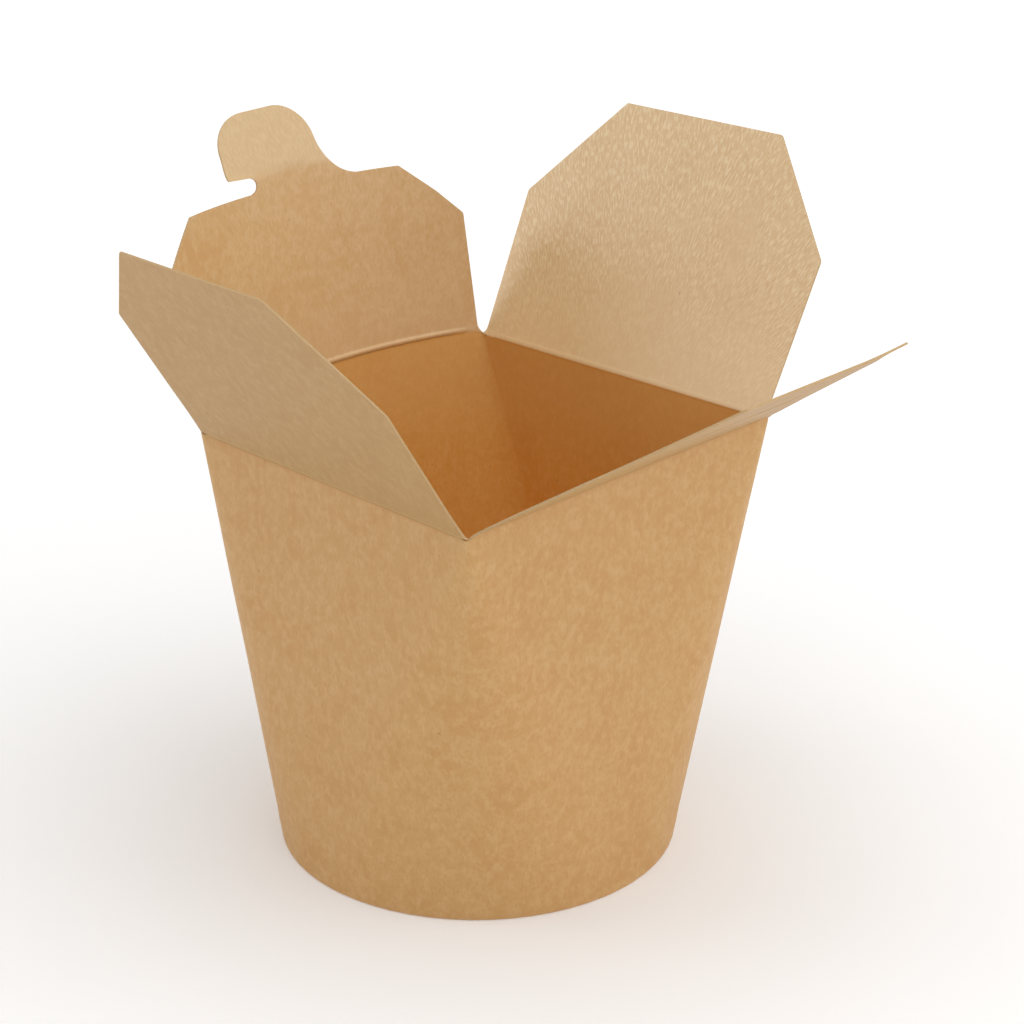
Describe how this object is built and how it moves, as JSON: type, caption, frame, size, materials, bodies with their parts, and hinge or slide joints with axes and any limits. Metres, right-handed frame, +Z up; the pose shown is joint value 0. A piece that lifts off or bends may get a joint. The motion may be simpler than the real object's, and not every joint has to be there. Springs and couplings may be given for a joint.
{
  "type": "empty noodle takeaway box",
  "caption": "Empty brown kraft paperboard takeaway box with a round foot, a square mouth and hinged top flaps standing open, one with a closing tab.",
  "frame": {"origin": "middle of the open box's bounding box, on the surface it stands on", "axes": "+Z up, +Y towards the flap that carries the closing tab, -Y towards the flap with the slit, +X and -X towards the side flaps"},
  "size_m": [0.1494, 0.1664, 0.1556],
  "materials": {
    "kraft_outside": "uncoated brown kraft board, matt, faintly mottled with fibres",
    "kraft_inside": "coated inner face of brown kraft board, paler, with a low sheen",
    "kraft_base": "coated brown kraft board, low sheen"
  },
  "bodies": {
    "carton": {"carton_wall": "kraft_outside", "base_disc": "kraft_base"},
    "slot_flap": {"slot_flap": "kraft_inside"},
    "right_flap": {"right_flap": "kraft_inside"},
    "tab_flap": {"tab_flap": "kraft_inside"},
    "left_flap": {"left_flap": "kraft_inside"},
    "closing_tab": {"closing_tab": "kraft_inside"}
  },
  "joints": [
    {"name": "slot_flap_crease", "type": "hinge", "parent": "carton", "child": "slot_flap", "pos_m": [0.00176, -0.03129, 0.09858], "axis": [-0.9997, -0.0055, -0.0249], "range_deg": [-34, 146.9]},
    {"name": "right_flap_crease", "type": "hinge", "parent": "carton", "child": "right_flap", "pos_m": [0.04648, 0.01373, 0.09798], "axis": [0.0056, -0.9999, 0.0161], "range_deg": [-62.5, 119]},
    {"name": "tab_flap_crease", "type": "hinge", "parent": "carton", "child": "tab_flap", "pos_m": [0.00286, 0.05761, 0.09718], "axis": [0.9995, 0.0206, 0.0247], "range_deg": [0, 99.6]},
    {"name": "left_flap_crease", "type": "hinge", "parent": "carton", "child": "left_flap", "pos_m": [-0.04186, 0.01258, 0.09578], "axis": [0.0304, 0.9994, -0.0152], "range_deg": [-58, 122.6]},
    {"name": "tab_fold", "type": "hinge", "parent": "tab_flap", "child": "closing_tab", "pos_m": [0.00379, 0.07533, 0.14117], "axis": [0.9997, -0.0024, 0.0247], "range_deg": [-30, 42]}
  ]
}
